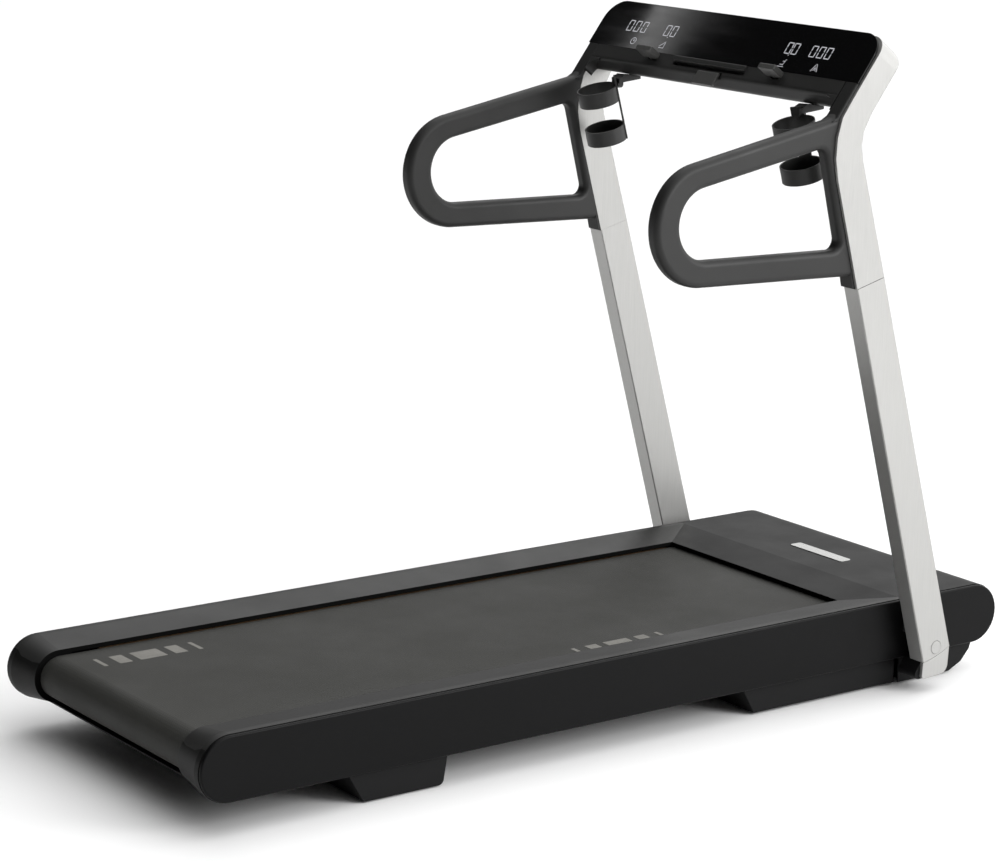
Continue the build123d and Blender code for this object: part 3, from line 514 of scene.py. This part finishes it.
def add_number(mesh, text, x, pitch):
    """A number that starts at X, in mm on the glass."""
    for c in text:
        if c == ".":
            dot = rounded_rectangle(0, DOT_SIZE * MM, 0, DOT_SIZE * MM, DOT_CORNER * MM)
            glass_mark(mesh, dot, x - DOT_BACK, DIGIT_LOW - DOT_DROP)
            continue
        for letter in SEGMENTS[c]:
            glass_mark(mesh, segment_outline(letter), x, DIGIT_LOW)
        x += pitch


def add_frame(mesh, outer, inner, place, depth):
    """A closed line: the band between two outlines with the same number of points."""
    count = len(outer)
    rings = []
    for points, z in ((outer, 0), (inner, 0), (inner, depth), (outer, depth)):
        rings.append([mesh.verts.new(place @ Vector((x, y, z))) for x, y in points])
    for k in range(4):
        a, b = rings[k], rings[(k + 1) % 4]
        for i in range(count):
            j = (i + 1) % count
            mesh.faces.new((a[i], b[i], b[j], a[j]))


def add_line(mesh, x, low, start, end):
    """A straight stroke between two points in mm, drawn around X and the icons' middle."""
    a, b = Vector(start), Vector(end)
    run = b - a
    across = Vector((-run.y, run.x)).normalized() * ICON_LINE / 2
    corners = [a - across, b - across, b + across, a + across]
    glass_mark(mesh, [(c.x * MM, c.y * MM) for c in corners], x, low)


def add_icon(mesh, kind, x, low):
    """Small line drawings below the numbers: a clock, a slope, a step and a peak."""
    if kind == "clock":
        place = head_place(x * MM, low * MM, INK_LIFT * MM)
        add_frame(mesh, circle_points(7.6 * MM, 24), circle_points(6.4 * MM, 24), place, INK_T * MM)
        strokes = [((0, -0.6), (0, 4.6)), ((0.6, 0), (3.8, 0))]
    if kind == "slope":
        strokes = [((-7, -6.5), (7, -6.5)), ((-7, -3.5), (6.4, 8)), ((6.4, -5.8), (6.4, 5.6))]
    if kind == "steps":
        strokes = [((-9, -7.5), (8, -7.5)), ((-4, -3), (3, -3)), ((3.4, -5), (6.5, 5)), ((0, 4), (6, 4)),
                   ((5, 6), (8, 8))]
    if kind == "peak":
        strokes = [((-8, -8), (-1.6, 6)), ((1.6, 6), (8, -8)), ((-1.2, 7.4), (1.2, 7.4)),
                   ((-3, -6.5), (0.6, 1)), ((0.9, -1), (3, -6.5))]
    for start, end in strokes:
        add_line(mesh, x, low, start, end)


def display_figures():
    mesh = bmesh.new()
    for text, x, pitch in NUMBERS:
        add_number(mesh, text, x, pitch)
    for kind, x in ICONS:
        add_icon(mesh, kind, x, ICON_LOW)
    piece("display_figures", mesh, figures)


# ---- screws and small hardware ----
def add_screw(mesh, place, radius):
    """A domed screw head with a hexagonal socket, in metres."""
    height = SCREW_HEIGHT
    rings = [(radius, 0.0), (radius, height * 0.45), (radius * 0.8, height * 0.85),
             (radius * 0.55, height)]
    count = 24
    loops = []
    for r, z in rings:
        loops.append([mesh.verts.new(place @ Vector((x, y, z))) for x, y in circle_points(r, count)])
    socket = []
    for step in range(count):
        angle = 2 * math.pi * step / count
        off_flat = (angle + math.pi / 6) % (math.pi / 3) - math.pi / 6
        r = radius * 0.46 * math.cos(math.pi / 6) / math.cos(off_flat)
        socket.append((r * math.cos(angle), r * math.sin(angle)))
    for z in (height, height * 0.3):
        loops.append([mesh.verts.new(place @ Vector((x, y, z))) for x, y in socket])
    for a, b in zip(loops, loops[1:]):
        for i in range(count):
            j = (i + 1) % count
            mesh.faces.new((a[i], a[j], b[j], b[i]))
    mesh.faces.new(loops[-1])
    mesh.faces.new(list(reversed(loops[0])))


def facing(point, normal):
    """Matrix whose Z looks along a normal, at a point."""
    z = Vector(normal).normalized()
    side = Vector((0, 0, 1)).cross(z)
    if side.length < 0.1:
        side = Vector((1, 0, 0))
    side.normalize()
    axes = Matrix((side, z.cross(side), z)).transposed()
    return Matrix.Translation(Vector(point)) @ axes.to_4x4()


def belly_screws():
    """Screws along both edges of the belly pan, under the deck."""
    low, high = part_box("belly_pan")
    mesh = bmesh.new()
    for side in (-1, 1):
        for k in range(PAN_SCREWS):
            y = low[1] + PAN_EDGE + (high[1] - low[1] - 2 * PAN_EDGE) * k / (PAN_SCREWS - 1)
            place = facing((side * (high[0] - PAN_INSET), y, low[2]), (0, 0, -1))
            add_screw(mesh, place, PAN_SCREW_R)
    piece("belly_screws", mesh, bright_steel)


def console_screws():
    """A row of screws that hold the back shell of the display head."""
    low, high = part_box("console_back")
    mesh = bmesh.new()
    for k in range(BACK_SCREWS):
        x = low[0] + BACK_EDGE + (high[0] - low[0] - 2 * BACK_EDGE) * k / (BACK_SCREWS - 1)
        spot = head_place(x, BACK_UP, -HEAD_DEPTH).translation
        add_screw(mesh, facing(spot, (0, HEAD_RISE[1], -HEAD_RISE[0])), BACK_SCREW_R)
    piece("console_screws", mesh, bright_steel)


def seam_lines():
    """The dark joint between the two lengths of each upright, on its outer face."""
    low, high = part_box("lower_upright_right")
    rear, front = (SEAM_REAR, high[2] - SEAM_DROP), (SEAM_FRONT, high[2])
    mesh = bmesh.new()
    for side in (-1, 1):
        x = side * high[0]
        outline = [rear, front, (front[0], front[1] + SEAM_LINE), (rear[0], rear[1] + SEAM_LINE)]
        if side < 0:
            outline.reverse()
        ends = [mesh.verts.new((x + side * SEAM_PROUD, y, z)) for y, z in outline]
        roots = [mesh.verts.new((x - side * SEAM_PROUD, y, z)) for y, z in outline]
        mesh.faces.new(ends)
        mesh.faces.new(list(reversed(roots)))
        for i in range(len(ends)):
            j = (i + 1) % len(ends)
            mesh.faces.new((ends[j], ends[i], roots[i], roots[j]))
    piece("seam_lines", mesh, shade_and_seam_black)


dress_nodes()
belt_marks()
display_figures()
belly_screws()
console_screws()
seam_lines()


# ---- stage ----
def add_floor():
    mesh = bmesh.new()
    corners = ((-1, -1), (1, -1), (1, 1), (-1, 1))
    mesh.faces.new([mesh.verts.new((FLOOR_HALF * x, FLOOR_HALF * y, 0)) for x, y in corners])
    data = bpy.data.meshes.new("floor")
    mesh.to_mesh(data)
    mesh.free()
    floor = bpy.data.objects.new("floor", data)
    bpy.context.scene.collection.objects.link(floor)
    paint = Finish("floor_paint", (0.90, 0.90, 0.90), 0.75, specular=0.2)
    paint.mottle(0.01, 0.8).smudged(0.05, 2.0)
    floor.data.materials.append(paint.material)


def add_area(name, spot, target, width, height, watts, up=(0, 0, 1)):
    light = bpy.data.lights.new(name, "AREA")
    light.shape = "RECTANGLE"
    light.size = width
    light.size_y = height
    light.energy = watts
    lamp = bpy.data.objects.new(name, light)
    back = (Vector(spot) - Vector(target)).normalized()
    side = Vector(up).cross(back).normalized()
    axes = Matrix((side, back.cross(side), back)).transposed()
    lamp.matrix_world = Matrix.Translation(spot) @ axes.to_4x4()
    bpy.context.scene.collection.objects.link(lamp)


def add_dome():
    """A world whose brightness falls off with the angle from its bright direction."""
    world = bpy.data.worlds.new("studio")
    world.use_nodes = True
    tree = world.node_tree
    place = tree.nodes.new("ShaderNodeTexCoord")
    toward = tree.nodes.new("ShaderNodeVectorMath")
    toward.operation = "DOT_PRODUCT"
    toward.inputs[1].default_value = Vector(DOME_BRIGHT).normalized()
    tree.links.new(place.outputs["Generated"], toward.inputs[0])
    fall = tree.nodes.new("ShaderNodeMapRange")
    fall.interpolation_type = "SMOOTHSTEP"
    limits = {"From Min": DOME_FROM, "From Max": DOME_TO, "To Min": DOME_LOW, "To Max": DOME_HIGH}
    for socket, value in limits.items():
        fall.inputs[socket].default_value = value
    tree.links.new(toward.outputs["Value"], fall.inputs["Value"])
    back = tree.nodes["Background"]
    back.inputs["Color"].default_value = (1, 1, 1, 1)
    tree.links.new(fall.outputs["Result"], back.inputs["Strength"])
    bpy.context.scene.world = world


def add_light():
    add_dome()
    add_area("right_key", KEY_SPOT, KEY_TARGET, KEY_SIZE, KEY_SIZE, KEY_WATTS)
    for k in range(BAND_STEPS):
        spot = Vector(BAND_START) + (k + 0.5) / BAND_STEPS * Vector(BAND_RUN)
        share = 1 - BAND_FADE * k / (BAND_STEPS - 1)
        add_area("band_%d" % k, spot, BAND_TARGET, BAND_WIDE, BAND_TALL, BAND_WATTS * share, BAND_UP)


def add_camera():
    yaw, pitch, roll = (math.radians(a) for a in (CAMERA_YAW, CAMERA_PITCH, CAMERA_ROLL))
    ahead = Vector((-math.sin(yaw) * math.cos(pitch), math.cos(yaw) * math.cos(pitch), -math.sin(pitch)))
    level = Vector((math.cos(yaw), math.sin(yaw), 0))
    upright = level.cross(ahead)
    right = math.cos(roll) * level + math.sin(roll) * upright
    up = math.cos(roll) * upright - math.sin(roll) * level
    lens = bpy.data.cameras.new("camera")
    lens.lens = CAMERA_LENS
    lens.sensor_width = 36.0
    lens.clip_end = 200.0
    camera = bpy.data.objects.new("camera", lens)
    axes = Matrix((right, up, -ahead)).transposed()
    camera.matrix_world = Matrix.Translation(CAMERA_SPOT) @ axes.to_4x4()
    bpy.context.scene.collection.objects.link(camera)
    bpy.context.scene.camera = camera


add_floor()
add_light()
add_camera()
bpy.context.scene.view_settings.view_transform = "Standard"
